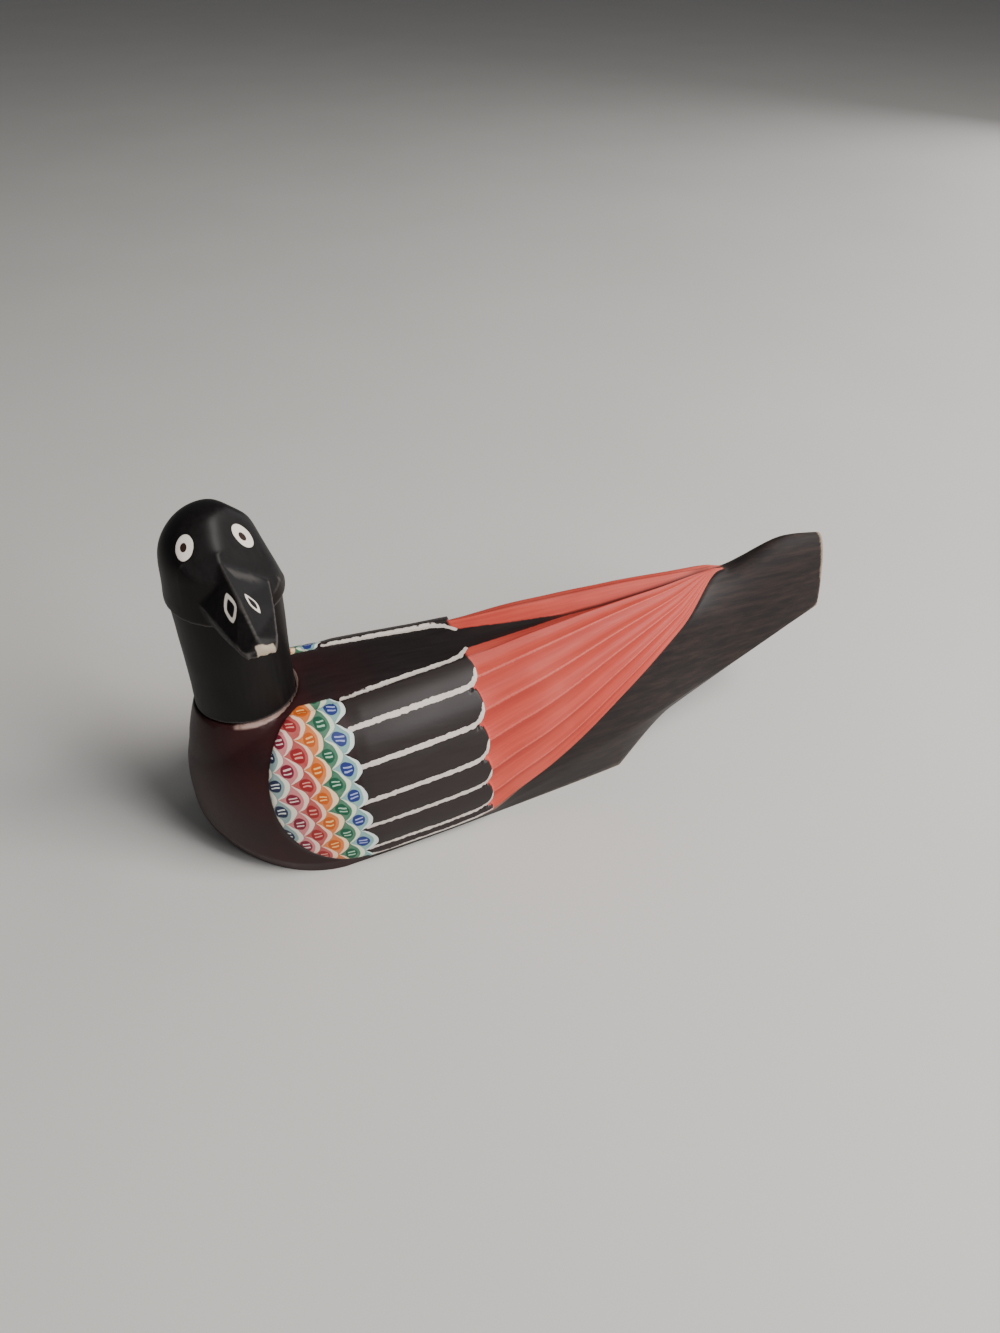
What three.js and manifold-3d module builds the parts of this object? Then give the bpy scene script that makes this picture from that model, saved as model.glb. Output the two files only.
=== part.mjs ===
import * as THREE from 'three';
import { LoftGeometry } from 'three/addons/geometries/LoftGeometry.js';
import { mergeVertices } from 'three/addons/utils/BufferGeometryUtils.js';
import Module from 'manifold-3d';

// A carved and painted wooden duck: one block for the body, wings and tail, and a separately
// carved head and neck that stands on a flat seat. Millimetres, +Z up, breast towards -X, tail
// towards +X. Lengths along the body are measured from the neck's axis, and the finished duck
// has its origin in the middle of its flat base.

// Body block: stations along its length
const BASE_CENTRE = 60;
const BREAST_FRONT = -26;
const SHOULDER = 22;
const HEEL = 142;
const TAIL_END = 239;
const BREAST_HEIGHT = 22;

// Body block: [station, value] along its length, behind the shoulder
const TOP_LINE = profile([[22, 63.5], [80, 66.5], [150, 70.5], [194, 72], [222, 81], [239, 79]]);
const HALF_WIDTH = profile([[22, 40], [50, 38.5], [100, 33], [140, 28], [190, 17.5], [239, 8.5]]);
const CREASE_HEIGHT = profile([[22, 5], [80, 6], [103, 13.5], [130, 19], [153, 23.5], [190, 33], [239, 48]]);
const BASE_HALF_WIDTH = profile([[22, 39.2], [50, 36.5], [100, 30.5], [140, 25], [190, 16], [239, 7.5]]);
const ROUNDNESS = profile([[22, 2.7], [80, 2.3], [140, 2.2], [190, 2], [239, 1.8]]);

// Breast: how quickly each outline closes towards the front
const BREAST_TOP_POWER = 2.7;
const BREAST_SIDE_POWER = 0.56;
const BREAST_BASE_POWER = 0.85;
const BREAST_TUCK_POWER = 4;

// Underside behind the heel: a short cove, then a straight run up to the tail
const COVE_LENGTH = 24;
const TAIL_UNDERSIDE_AT_COVE = 21.8;
const TAIL_UNDERSIDE_SLOPE = 0.345;
const COVE_POWER = 0.9;

// Wings: their edges, measured round the girth from the top of the back
const WING_TOP_EDGE = profile([[22, 19], [80, 12.4], [130, 7], [160, 4.2], [194, 0.5], [239, 4]]);
const WING_LOWER_EDGE = profile(
  [[22, 84], [80, 78.8], [94, 71.8], [109, 64], [140, 42], [168, 21.4], [194, 1.5], [239, 20]]
);
const WING_FRONT = 0;
const WING_SHOULDER = 31;
const WING_MIDDLE = 0.54;
const WING_HALF_GIRTH = 0.41;
const FAN_START = 81;
const FAN_TIP = 194;
const LANE_SHIFT_FROM = 77;
const LANE_SHIFT_TO = 84;
const TIP_FADE = 6;
const BAR_EDGES = [0, 0.18, 0.395, 0.61, 0.78, 0.945, 1];
const FLUTE_EDGES = [0, 0.125, 0.32, 0.505, 0.7, 0.87, 1];
const WING_RELIEF = 1;
const WING_RAMP = 0.3;
const BAR_CROWN = 0.4;
const BAR_END_RUN = 1;
const FAN_DROP = 0.8;
const FAN_DROP_RUN = 25;
const FLUTE_DEPTH = 1.1;
const FLUTE_FULL_WIDTH = 11;
const EDGE_STEP_WIDTH = 0.9;
const SIDE_RECESS = 1.1;
const SIDE_RECESS_RUN = 20;
const VALLEY_DEPTH = 4.5;
const VALLEY_SLOPE = 0.75;
const VALLEY_START = 35;
const VALLEY_FULL = 110;
const VALLEY_ROUND = 1.6;

// Head and neck, in the head's own frame: +Y forward, on the neck's axis
const SEAT_HEIGHT = 61;
const NECK_RADIUS = 17.8;
const SEAT_CLEARANCE = 0.3;
const BOSS_PROFILE = [[18.5, 61], [20.3, 55.5], [22.2, 48.5], [23.4, 42], [19, 34]];
const JAW_HEIGHT = 107;
const JAW_RADIUS = 18.6;
const CHEEK_RADIUS = 19.8;
const CHEEK_FORWARD = 0.9;
const CHEEK_TILT = 0.12;
const NECK_STRAIGHT = 16;
const NECK_INSIDE_HEAD = 3;
const CHEEK_DEPTH = 9;
const DOME_HEIGHT = 119;
const DOME_INSET = 0.6;
const DOME_POWER = 0.95;
const CROWN_HEIGHT = 138;
const HEAD_TURN = THREE.MathUtils.degToRad(-172);

// Forehead: two planed facets, a little uneven, that meet in a ridge above the bill
const RIDGE_FOOT = new THREE.Vector3(2.6, 15.5, 126);
const LEFT_FACET = new THREE.Vector3(0.22, 0.74, 0.64).normalize();
const RIGHT_FACET = new THREE.Vector3(-0.5, 0.7, 0.5).normalize();

// Flatter side of the head: two planed flats, by direction and distance from the dome's centre
const SIDE_FLATS = [
  [new THREE.Vector3(-0.95, 0.03, 0.31).normalize(), 15.1],
  [new THREE.Vector3(-0.64, -0.27, 0.72).normalize(), 16.3],
];

// Bill: a roof-shaped wedge with an uneven ridge, given by sections of
// [forward, half width, ridge's place across, ridge height, edge height, underside height]
const BILL_SECTIONS = [
  [4, 13, 2.6, 128, 115, 106],
  [15.5, 11.8, 2.6, 126, 113.8, 107.6],
  [27, 9.4, 1.2, 118.4, 111, 106.4],
  [38, 6.4, 0, 110.8, 108, 105.6],
  [41, 5, -0.4, 108.2, 107, 105.4],
];
const BILL_UNDER_TAPER = 0.9;

// Paint
const BODY_COLOUR = 0x2a2322;
const HEAD_COLOUR = 0x1c1a1a;
const PAINT_ROUGHNESS = 0.45;

// Mesh fineness
const BREAST_STATIONS = 12;
const WING_STATIONS = 12;
const FAN_STATIONS = 22;
const TAIL_STATIONS = 9;
const VALLEY_STEPS = 3;
const SIDE_STEPS = 3;
const BEVEL_STEPS = 2;
const BASE_STEPS = 2;
const ARC_SAMPLES = 60;
const ROUND_SEGMENTS = 40;
const DOME_STEPS = 9;
const FIRST_STATION_ANGLE = 0.06;
const SMALL_GIRTH = 40;
const ROUNDING = 1e-6;
const WELD = 1e-4;

// A smooth curve through [station, value] points that never overshoots between them
function profile(points) {
  const steps = points.slice(1).map(([x, y], i) => (y - points[i][1]) / (x - points[i][0]));
  const slopes = points.map((_, i) => {
    if (i === 0) return steps[0];
    if (i === points.length - 1) return steps[i - 1];
    const [before, after] = [steps[i - 1], steps[i]];
    return before * after > 0 ? (2 * before * after) / (before + after) : 0;
  });
  return (x) => {
    const last = points.length - 2;
    const i = Math.min(last, Math.max(0, points.findIndex(([station]) => station > x) - 1));
    const piece = x >= points[last][0] ? last : i;
    const [x0, y0] = points[piece];
    const [x1, y1] = points[piece + 1];
    const width = x1 - x0;
    const t = THREE.MathUtils.clamp((x - x0) / width, 0, 1);
    const rise = y1 - y0;
    const bendIn = slopes[piece] * width - rise;
    const bendOut = rise - slopes[piece + 1] * width;
    return y0 + rise * t + t * (1 - t) * (bendIn * (1 - t) + bendOut * t);
  };
}

// Height of the underside: flat under the body, coved and rising under the tail
function underside(x) {
  if (x <= HEEL) return 0;
  const line = TAIL_UNDERSIDE_AT_COVE + (x - HEEL - COVE_LENGTH) * TAIL_UNDERSIDE_SLOPE;
  const t = Math.min(1, (x - HEEL) / COVE_LENGTH);
  return line * Math.sin((t * Math.PI) / 2) ** COVE_POWER;
}

// Left half of the plain body's section, from the top of the back down to the edge of the base
function halfSection(x) {
  const station = Math.max(x, SHOULDER);
  let halfWidth = HALF_WIDTH(station);
  let crease = CREASE_HEIGHT(station);
  let top = TOP_LINE(station);
  let baseHalfWidth = BASE_HALF_WIDTH(station);
  let bottom = underside(station);
  const power = 2 / ROUNDNESS(station);
  if (x < SHOULDER) {
    const k = (SHOULDER - x) / (SHOULDER - BREAST_FRONT);
    const round = Math.sqrt(1 - k * k);
    halfWidth *= (1 - k * k) ** BREAST_SIDE_POWER;
    baseHalfWidth *= (1 - k * k) ** BREAST_BASE_POWER;
    top = BREAST_HEIGHT + (top - BREAST_HEIGHT) * (1 - k ** BREAST_TOP_POWER) ** (1 / BREAST_TOP_POWER);
    crease = BREAST_HEIGHT + (crease - BREAST_HEIGHT) * round;
    bottom = BREAST_HEIGHT * (1 - (1 - k ** BREAST_TUCK_POWER) ** (1 / BREAST_TUCK_POWER));
  }
  const points = [];
  for (let i = 0; i <= ARC_SAMPLES; i++) {
    const t = ((1 - i / ARC_SAMPLES) * Math.PI) / 2;
    const y = halfWidth * Math.cos(t) ** power;
    points.push(new THREE.Vector2(y, crease + (top - crease) * Math.sin(t) ** power));
  }
  points.push(new THREE.Vector2(Math.min(baseHalfWidth, halfWidth), bottom));
  return points;
}

// Distances along a section's points
function distances(points) {
  const sums = [0];
  for (let i = 1; i < points.length; i++) {
    sums.push(sums[i - 1] + points[i].distanceTo(points[i - 1]));
  }
  return sums;
}

// Point and outward normal at a distance along a section
function pointAlong(points, sums, distance) {
  let i = 1;
  while (i < sums.length - 1 && sums[i] < distance) i++;
  const t = (distance - sums[i - 1]) / (sums[i] - sums[i - 1]);
  const ahead = points[i].clone().sub(points[i - 1]).normalize();
  return {
    point: points[i - 1].clone().lerp(points[i], t),
    normal: new THREE.Vector2(-ahead.y, ahead.x),
  };
}

const SHOULDER_GIRTH = distances(halfSection(SHOULDER)).at(-1);

// Edges of the lanes across a wing: bars in front, turning into the fan's flutes
function laneEdges(x) {
  const t = THREE.MathUtils.smoothstep(x, LANE_SHIFT_FROM, LANE_SHIFT_TO);
  return BAR_EDGES.map((edge, i) => THREE.MathUtils.lerp(edge, FLUTE_EDGES[i], t));
}

// How far the carving stands out of the plain body at one place
function relief(x, f, edges, girth) {
  const { topEdge, lowerEdge, crease } = edges;
  const behindTip = THREE.MathUtils.smoothstep(x, FAN_TIP - TIP_FADE, FAN_TIP);
  if (f < topEdge) {
    const depth = Math.min(VALLEY_DEPTH, VALLEY_SLOPE * topEdge * girth);
    const run = THREE.MathUtils.smoothstep(x, VALLEY_START, VALLEY_FULL);
    return -depth * run * (1 - behindTip) * (1 - (f / topEdge) ** VALLEY_ROUND);
  }
  const along = Math.min(0, x - WING_SHOULDER) / (WING_SHOULDER - WING_FRONT);
  const across = (f - WING_MIDDLE) / WING_HALF_GIRTH;
  const inside = 1 - along * along * (1 + across * across);
  const wing = THREE.MathUtils.clamp(inside / WING_RAMP, 0, 1) * (1 - behindTip);
  if (f > lowerEdge) {
    const run = THREE.MathUtils.smoothstep(x, FAN_START, FAN_START + SIDE_RECESS_RUN);
    const fade = THREE.MathUtils.clamp((crease - f) / (crease - lowerEdge), 0, 1);
    return -SIDE_RECESS * fade * run * (1 - behindTip);
  }
  const v = (f - topEdge) / (lowerEdge - topEdge);
  const lanes = laneEdges(x);
  const lane = Math.max(0, lanes.findIndex((edge) => edge > v + ROUNDING) - 1);
  const laneWidth = lanes[lane + 1] - lanes[lane];
  const arch = Math.sin(Math.PI * THREE.MathUtils.clamp((v - lanes[lane]) / laneWidth, 0, 1));
  if (x <= FAN_START) return wing * (WING_RELIEF + BAR_CROWN * arch);
  const width = laneWidth * (lowerEdge - topEdge) * girth;
  const depth = FLUTE_DEPTH * Math.min(1, width / FLUTE_FULL_WIDTH);
  const rise = THREE.MathUtils.smoothstep(x, FAN_START, FAN_START + FAN_DROP_RUN);
  return wing * (WING_RELIEF - FAN_DROP * (1 - rise) - depth * arch);
}

// One closed ring of the body: down the left side, across the base and up the right side
function bodyRing(x) {
  const points = halfSection(x);
  const sums = distances(points);
  const girth = sums[sums.length - 1];
  const station = Math.max(x, SHOULDER);
  const unit = x < SHOULDER ? SHOULDER_GIRTH : girth;
  const topEdge = WING_TOP_EDGE(station) / unit;
  const lowerEdge = WING_LOWER_EDGE(station) / unit;
  const step = lowerEdge + EDGE_STEP_WIDTH / Math.max(girth, SMALL_GIRTH);
  const crease = Math.max(sums[sums.length - 2] / girth, (step + 1) / 2);
  const places = [];
  for (let i = 0; i < VALLEY_STEPS; i++) places.push((topEdge * i) / VALLEY_STEPS);
  const lanes = laneEdges(x).map((v) => topEdge + (lowerEdge - topEdge) * v);
  for (let i = 0; i < lanes.length - 1; i++) places.push(lanes[i], (lanes[i] + lanes[i + 1]) / 2);
  places.push(lowerEdge);
  for (let i = 0; i < SIDE_STEPS; i++) places.push(step + ((crease - step) * i) / SIDE_STEPS);
  for (let i = 0; i <= BEVEL_STEPS; i++) places.push(crease + ((1 - crease) * i) / BEVEL_STEPS);
  const half = places.map((f) => {
    const { point, normal } = pointAlong(points, sums, f * girth);
    return point.addScaledVector(normal, relief(x, f, { topEdge, lowerEdge, crease }, girth));
  });
  half[0].x = 0;
  const edge = half[half.length - 1].clone();
  for (let i = 1; i <= BASE_STEPS; i++) {
    half.push(new THREE.Vector2(edge.x * (1 - i / BASE_STEPS), edge.y));
  }
  const left = half.map((p) => new THREE.Vector3(x, -p.x, p.y));
  const right = half.slice(1, -1).map((p) => new THREE.Vector3(x, p.x, p.y)).reverse();
  return [...left, ...right];
}

// Stations along the body, closer together round the breast and at the fan's steps
function bodyStations() {
  const stations = [];
  for (let i = 0; i < BREAST_STATIONS; i++) {
    const a = FIRST_STATION_ANGLE + (i / BREAST_STATIONS) * (Math.PI / 2 - FIRST_STATION_ANGLE);
    stations.push(SHOULDER - (SHOULDER - BREAST_FRONT) * Math.cos(a));
  }
  const span = (from, to, count) => {
    for (let i = 0; i < count; i++) stations.push(from + ((to - from) * i) / count);
  };
  span(SHOULDER, FAN_START, WING_STATIONS);
  stations.push(FAN_START);
  span(FAN_START + BAR_END_RUN, HEEL, FAN_STATIONS / 2);
  span(HEEL, FAN_TIP, FAN_STATIONS / 2);
  span(FAN_TIP, TAIL_END, TAIL_STATIONS);
  stations.push(TAIL_END);
  return stations;
}

const wasm = await Module();
wasm.setup();

function solid(geometry) {
  const plain = new THREE.BufferGeometry();
  plain.setAttribute('position', geometry.attributes.position);
  plain.setIndex(geometry.index);
  const merged = mergeVertices(plain, WELD);
  const vertProperties = new Float32Array(merged.attributes.position.array);
  const triVerts = new Uint32Array(merged.index.array);
  return new wasm.Manifold(new wasm.Mesh({ numProp: 3, vertProperties, triVerts }));
}

function geometryOf(manifold) {
  const { vertProperties, triVerts } = manifold.getMesh();
  const geometry = new THREE.BufferGeometry();
  geometry.setAttribute('position', new THREE.BufferAttribute(new Float32Array(vertProperties), 3));
  geometry.setIndex(new THREE.BufferAttribute(new Uint32Array(triVerts), 1));
  geometry.computeVertexNormals();
  return geometry;
}

// A solid of revolution about Z from [radius, height] points
function turned(points) {
  const lathe = new THREE.LatheGeometry(points.map(([r, z]) => new THREE.Vector2(r, z)), ROUND_SEGMENTS);
  return solid(lathe.rotateX(Math.PI / 2));
}

// The body block with a flared boss and a flat round seat for the neck
function makeBody() {
  const block = solid(new LoftGeometry(bodyStations().map(bodyRing), {
    closed: true,
    capStart: true,
    capEnd: true,
  }));
  const seatRadius = NECK_RADIUS + SEAT_CLEARANCE;
  const boss = [[0, SEAT_HEIGHT], ...BOSS_PROFILE, [0, BOSS_PROFILE.at(-1)[1]]].reverse();
  const cutter = turned([
    [0, SEAT_HEIGHT],
    [seatRadius, SEAT_HEIGHT],
    [seatRadius, CROWN_HEIGHT],
    [0, CROWN_HEIGHT],
  ]);
  return geometryOf(block.add(turned(boss)).subtract(cutter));
}

// A large block whose one face lies on a plane through a point, for planing off what is outside
function planingBlock(point, normal) {
  const size = 4 * CHEEK_RADIUS;
  const box = new THREE.BoxGeometry(size, size, size).translate(0, 0, size / 2);
  const turn = new THREE.Quaternion().setFromUnitVectors(new THREE.Vector3(0, 0, 1), normal);
  return solid(box.applyQuaternion(turn).translate(point.x, point.y, point.z));
}

// The neck, a little wider at the jaw
function makeNeck() {
  const foot = SEAT_HEIGHT + SEAT_CLEARANCE;
  const top = JAW_HEIGHT + NECK_INSIDE_HEAD;
  return turned([
    [0, foot],
    [NECK_RADIUS, foot],
    [NECK_RADIUS, foot + NECK_STRAIGHT],
    [JAW_RADIUS, top],
    [0, top],
  ]);
}

// The round of the head, cut off at the jaw by a plane that rises towards the back
function makeSkull() {
  const jaw = JAW_HEIGHT - CHEEK_DEPTH;
  const points = [[0, jaw], [CHEEK_RADIUS, jaw], [CHEEK_RADIUS, JAW_HEIGHT]];
  for (let i = 0; i <= DOME_STEPS; i++) {
    const t = ((i / DOME_STEPS) * Math.PI) / 2;
    const radius = i === DOME_STEPS ? 0 : (CHEEK_RADIUS - DOME_INSET) * Math.cos(t) ** DOME_POWER;
    points.push([radius, DOME_HEIGHT + (CROWN_HEIGHT - DOME_HEIGHT) * Math.sin(t)]);
  }
  const skull = turned(points).translate([0, CHEEK_FORWARD, 0]);
  const jawPlane = new THREE.Vector3(0, -CHEEK_TILT, -1).normalize();
  return skull.subtract(planingBlock(new THREE.Vector3(0, 0, JAW_HEIGHT), jawPlane));
}

// The bill, as a loft of roof-shaped sections from inside the head to the blunt tip
function makeBill() {
  const sections = BILL_SECTIONS.map(([forward, halfWidth, ridgeAcross, ridge, edge, under]) => {
    const outline = [
      [ridgeAcross, ridge],
      [halfWidth, edge],
      [halfWidth * BILL_UNDER_TAPER, under],
      [-halfWidth * BILL_UNDER_TAPER, under],
      [-halfWidth, edge],
    ];
    return outline.map(([across, height]) => new THREE.Vector3(across, forward, height));
  });
  return solid(new LoftGeometry(sections, { closed: true, capStart: true, capEnd: true }));
}

function makeHead() {
  let planed = makeNeck()
    .add(makeSkull())
    .subtract(planingBlock(RIDGE_FOOT, LEFT_FACET))
    .subtract(planingBlock(RIDGE_FOOT, RIGHT_FACET));
  for (const [normal, distance] of SIDE_FLATS) {
    const foot = new THREE.Vector3(0, 0, DOME_HEIGHT).addScaledVector(normal, distance);
    planed = planed.subtract(planingBlock(foot, normal));
  }
  return geometryOf(planed.add(makeBill()));
}

function piece(name, geometry, color) {
  const paint = new THREE.MeshStandardMaterial({ color, roughness: PAINT_ROUGHNESS, metalness: 0 });
  const mesh = new THREE.Mesh(geometry, paint);
  mesh.name = name;
  return mesh;
}

const body = piece('body', makeBody(), BODY_COLOUR);
const head = piece('head_and_neck', makeHead(), HEAD_COLOUR);
head.rotation.z = HEAD_TURN;

const duck = new THREE.Group();
duck.add(body, head);
duck.position.x = -BASE_CENTRE;

export default duck;
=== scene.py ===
from math import cos, hypot, pi, radians, sin, sqrt

import bmesh
import bpy
from mathutils import Matrix, Vector, noise


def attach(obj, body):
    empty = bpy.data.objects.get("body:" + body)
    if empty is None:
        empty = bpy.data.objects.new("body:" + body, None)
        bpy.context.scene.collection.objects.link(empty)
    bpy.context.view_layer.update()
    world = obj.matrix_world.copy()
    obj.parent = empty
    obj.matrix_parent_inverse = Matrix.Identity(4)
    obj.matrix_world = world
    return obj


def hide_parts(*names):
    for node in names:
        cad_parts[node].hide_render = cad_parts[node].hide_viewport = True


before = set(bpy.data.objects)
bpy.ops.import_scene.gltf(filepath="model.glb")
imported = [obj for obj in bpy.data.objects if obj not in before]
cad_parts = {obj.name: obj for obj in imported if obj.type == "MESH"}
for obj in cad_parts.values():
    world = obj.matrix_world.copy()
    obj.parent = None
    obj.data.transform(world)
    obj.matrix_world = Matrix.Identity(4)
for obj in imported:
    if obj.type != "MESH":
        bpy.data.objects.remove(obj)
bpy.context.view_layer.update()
print("frame loaded with", ", ".join(sorted(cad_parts)))

mm = 0.001


# small helpers for shapes

def blend(low, high, value):  # 0 below low, 1 above high, smooth between
    t = min(1.0, max(0.0, (value - low) / (high - low)))
    return t * t * (3 - 2 * t)


def mix(a, b, t):
    return a + (b - a) * t


def curveThrough(points):  # smooth, and it never overshoots between the points
    steps = [(b[1] - a[1]) / (b[0] - a[0]) for a, b in zip(points, points[1:])]
    slopes = [steps[0]]
    for before, after in zip(steps, steps[1:]):
        slopes.append(2 * before * after / (before + after) if before * after > 0 else 0.0)
    slopes.append(steps[-1])

    def valueAt(x):
        i = sum(1 for p in points[1:-1] if x >= p[0])
        (x0, y0), (x1, y1) = points[i], points[i + 1]
        width = x1 - x0
        t = min(1.0, max(0.0, (x - x0) / width))
        rise = y1 - y0
        bendIn = slopes[i] * width - rise
        bendOut = rise - slopes[i + 1] * width
        return y0 + rise * t + t * (1 - t) * (bendIn * (1 - t) + bendOut * t)

    return valueAt


def spread(first, last, count):  # count values from first, stopping short of last
    return [mix(first, last, i / count) for i in range(count)]


def markWornEdges(bm, passes):  # an attribute that is high on sharp outer edges
    bm.normal_update()
    wear = bm.verts.layers.float.new("wear")
    for vert in bm.verts:
        around = [edge.other_vert(vert).co for edge in vert.link_edges]
        reach = sum((co - vert.co).length_squared for co in around) / len(around)
        middle = sum(around, Vector()) / len(around)
        bulge = (vert.co - middle).dot(vert.normal) / max(reach, 1e-12) * mm
        vert[wear] = max(0.0, bulge)
    for _ in range(passes):
        smoothed = {}
        for vert in bm.verts:
            around = [edge.other_vert(vert)[wear] for edge in vert.link_edges]
            smoothed[vert] = (vert[wear] + sum(around)) / (1 + len(around))
        for vert, value in smoothed.items():
            vert[wear] = value


def finishPiece(bm, name, node, material):
    for face in bm.faces:
        face.smooth = True
    mesh = bpy.data.meshes.new(name)
    bm.to_mesh(mesh)
    bm.free()
    mesh.materials.append(material)
    piece = bpy.data.objects.new(name, mesh)
    bpy.context.scene.collection.objects.link(piece)
    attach(piece, "root")
    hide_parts(node)
    print(name, "has", len(mesh.polygons), "faces")
    return piece


# shader maths written as expressions

class Value:
    def __init__(self, paint, socket):
        self.paint = paint
        self.socket = socket

    def maths(self, operation, *values):
        return self.paint.node("ShaderNodeMath", {"operation": operation}, values)

    def __add__(self, other):
        return self.maths("ADD", self, other)

    def __radd__(self, other):
        return self.maths("ADD", other, self)

    def __sub__(self, other):
        return self.maths("SUBTRACT", self, other)

    def __rsub__(self, other):
        return self.maths("SUBTRACT", other, self)

    def __mul__(self, other):
        return self.maths("MULTIPLY", self, other)

    def __rmul__(self, other):
        return self.maths("MULTIPLY", other, self)

    def __truediv__(self, other):
        return self.maths("DIVIDE", self, other)

    def __pow__(self, other):
        return self.maths("POWER", self, other)

    def __abs__(self):
        return self.maths("ABSOLUTE", self)

    def floor(self):
        return self.maths("FLOOR", self)

    def fract(self):
        return self.maths("FRACT", self)

    def least(self, other):
        return self.maths("MINIMUM", self, other)

    def most(self, other):
        return self.maths("MAXIMUM", self, other)

    def above(self, edge, soft):  # 1 where the value is above the edge
        settings = {"interpolation_type": "SMOOTHSTEP"}
        return self.paint.node("ShaderNodeMapRange", settings, {
            "Value": self,
            "From Min": edge - soft,
            "From Max": edge + soft,
        })

    def below(self, edge, soft):
        return 1 - self.above(edge, soft)


class Paint:
    def __init__(self, name):
        self.material = bpy.data.materials.new(name)
        self.material.use_nodes = True
        self.tree = self.material.node_tree
        self.shader = self.tree.nodes["Principled BSDF"]

    def node(self, kind, settings, inputs, output=0):
        made = self.tree.nodes.new(kind)
        for key, setting in settings.items():
            if key == "stops":
                self.setStops(made.color_ramp, setting)
            else:
                setattr(made, key, setting)
        pairs = inputs.items() if isinstance(inputs, dict) else enumerate(inputs)
        for key, value in pairs:
            self.put(made.inputs[key], value)
        return Value(self, made.outputs[output])

    def put(self, socket, value):
        if isinstance(value, Value):
            self.tree.links.new(value.socket, socket)
        else:
            socket.default_value = value

    def setStops(self, ramp, stops):
        while len(ramp.elements) < len(stops):
            ramp.elements.new(1.0)
        for element, (place, colour) in zip(ramp.elements, stops):
            element.position = place
            element.color = colour

    def set(self, name, value):
        self.put(self.shader.inputs[name], value)

    def colour(self, factor, under, over):
        return self.node("ShaderNodeMix", {"data_type": "RGBA"}, {0: factor, 6: under, 7: over}, 2)

    def value(self, factor, under, over):
        return under + (over - under) * factor

    def speckle(self, vector, scale, detail=2.0, rough=0.5):
        return self.node("ShaderNodeTexNoise", {}, {
            "Vector": vector,
            "Scale": scale,
            "Detail": detail,
            "Roughness": rough,
        })

    def attribute(self, name):
        return self.node("ShaderNodeAttribute", {"attribute_name": name}, {}, "Fac")

    def place(self):
        return self.node("ShaderNodeTexCoord", {}, {}, "Object")

    def stretched(self, vector, scale):
        return self.node("ShaderNodeMapping", {}, {"Vector": vector, "Scale": scale})

    def joined(self, x, y, z):
        return self.node("ShaderNodeCombineXYZ", {}, [x, y, z])

    def part(self, vector, axis):
        return self.node("ShaderNodeSeparateXYZ", {}, [vector], axis)

    def dot(self, vector, other):
        return self.node("ShaderNodeVectorMath", {"operation": "DOT_PRODUCT"}, [vector, other], "Value")

    def steps(self, factor, colours):  # one plain colour for each whole number
        count = len(colours)
        stops = [(i / count, colour) for i, colour in enumerate(colours)]
        ramp = self.node("ShaderNodeValToRGB", {"stops": stops}, [(factor + 0.5) / count])
        ramp.socket.node.color_ramp.interpolation = "CONSTANT"
        return ramp

    def bump(self, height, distance, strength=1.0):
        return self.node("ShaderNodeBump", {}, {
            "Height": height,
            "Distance": distance,
            "Strength": strength,
        })


def tone(red, green, blue):  # screen colour, 0 to 255, as light
    def light(c):
        c /= 255
        return c / 12.92 if c <= 0.04045 else ((c + 0.055) / 1.055) ** 2.4

    return (light(red), light(green), light(blue), 1.0)


# body: millimetres, stations along it from the neck's axis, girth from the top of the back

bodyForm = {
    "baseCentre": 60.0,
    "breastFront": -26.0,
    "shoulder": 22.0,
    "heel": 142.0,
    "tailEnd": 239.0,
    "breastHeight": 22.0,
    "topLine": [(22, 63.5), (80, 66.5), (150, 70.5), (194, 72), (222, 81), (239, 79)],
    "halfWidth": [(22, 40), (50, 38.5), (100, 33), (140, 28), (190, 17.5), (239, 8.5)],
    "crease": [(22, 5), (80, 6), (103, 13.5), (130, 19), (153, 23.5), (190, 33), (239, 48)],
    "baseHalfWidth": [(22, 39.2), (50, 36.5), (100, 30.5), (140, 25), (190, 16), (239, 7.5)],
    "roundness": [(22, 2.7), (80, 2.3), (140, 2.2), (190, 2), (239, 1.8)],
    "breastPowers": {"top": 2.7, "side": 0.56, "base": 0.85, "tuck": 4.0},
    "coveLength": 24.0,
    "coveRise": 21.8,
    "tailSlope": 0.345,
    "covePower": 0.9,
    "tailRound": 1.2,
    "tailRoundAngles": (0, 25, 50, 72, 90),
    "barEndZone": (74, 86),  # the bars end here, so the stations lie closer
    "stationCounts": [84, 62, 34, 106, 34],
    "ringCounts": {"back": 10, "lip": 3, "step": 4, "side": 14, "foot": 7, "base": 8},
    "baseFacts": (1.6, 9.0, -9.0, 6.0),  # wing, line, bar end and flute under the base
    "wobble": 0.14,
    "wobbleReach": 16.0,
}

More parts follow.
